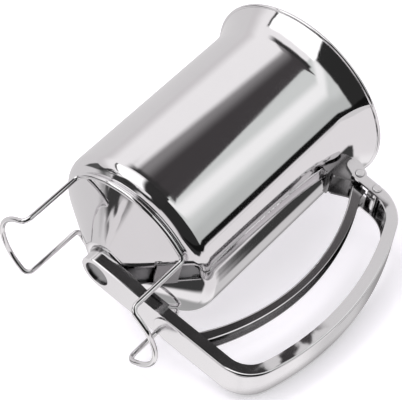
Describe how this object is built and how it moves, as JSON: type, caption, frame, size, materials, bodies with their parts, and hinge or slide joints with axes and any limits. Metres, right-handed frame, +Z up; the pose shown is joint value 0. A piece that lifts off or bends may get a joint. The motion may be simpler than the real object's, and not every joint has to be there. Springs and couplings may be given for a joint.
{
  "type": "dispensing pot",
  "caption": "Flared metal pouring pot with a cone bottom and slide valve, a loop handle with a squeeze lever that opens the valve, and a bent-wire stand it lifts off.",
  "frame": {"origin": "on the cup's axis, in the plane that the stand's feet rest on", "axes": "+Z up along the cup's axis to its mouth, +X towards the handle, +Y across the handle"},
  "size_m": [0.1598, 0.108, 0.1695],
  "materials": {
    "polished_steel": "mirror-polished stainless steel",
    "spring_steel": "drawn spring wire",
    "seal": "matt translucent silicone"
  },
  "bodies": {
    "stand": {"stand_wire": "polished_steel"},
    "pot": {"cup_body": "polished_steel", "outlet_tube": "polished_steel", "outlet_collar": "polished_steel", "outlet_seal": "seal", "handle_frame": "polished_steel", "cup_bracket": "polished_steel", "pivot_pin": "polished_steel", "spring_pin": "polished_steel", "return_spring": "spring_steel", "spring_bush": "polished_steel", "pivot_washers": "polished_steel", "slide_guide": "polished_steel", "guide_rivets": "polished_steel"},
    "lever": {"trigger_lever": "polished_steel", "drive_pin": "polished_steel"},
    "slide": {"valve_slide": "polished_steel", "slide_yoke": "polished_steel"}
  },
  "joints": [
    {"name": "pot_lift", "type": "slide", "parent": "stand", "child": "pot", "axis": [0, 0, 1], "range_m": [0, 0.04]},
    {"name": "trigger", "type": "hinge", "parent": "pot", "child": "lever", "pos_m": [0.0594, 0, 0.1438], "axis": [0, -1, 0], "range_deg": [0, 7.36], "stiffness_Nm_per_rad": 3, "springref_deg": -5.73},
    {"name": "slide_travel", "type": "slide", "parent": "pot", "child": "slide", "axis": [1, 0, 0], "range_m": [0, 0.016]}
  ],
  "couplings": [
    {"joint": "slide_travel", "follows": "trigger", "m_per_rad": 0.1235}
  ]
}
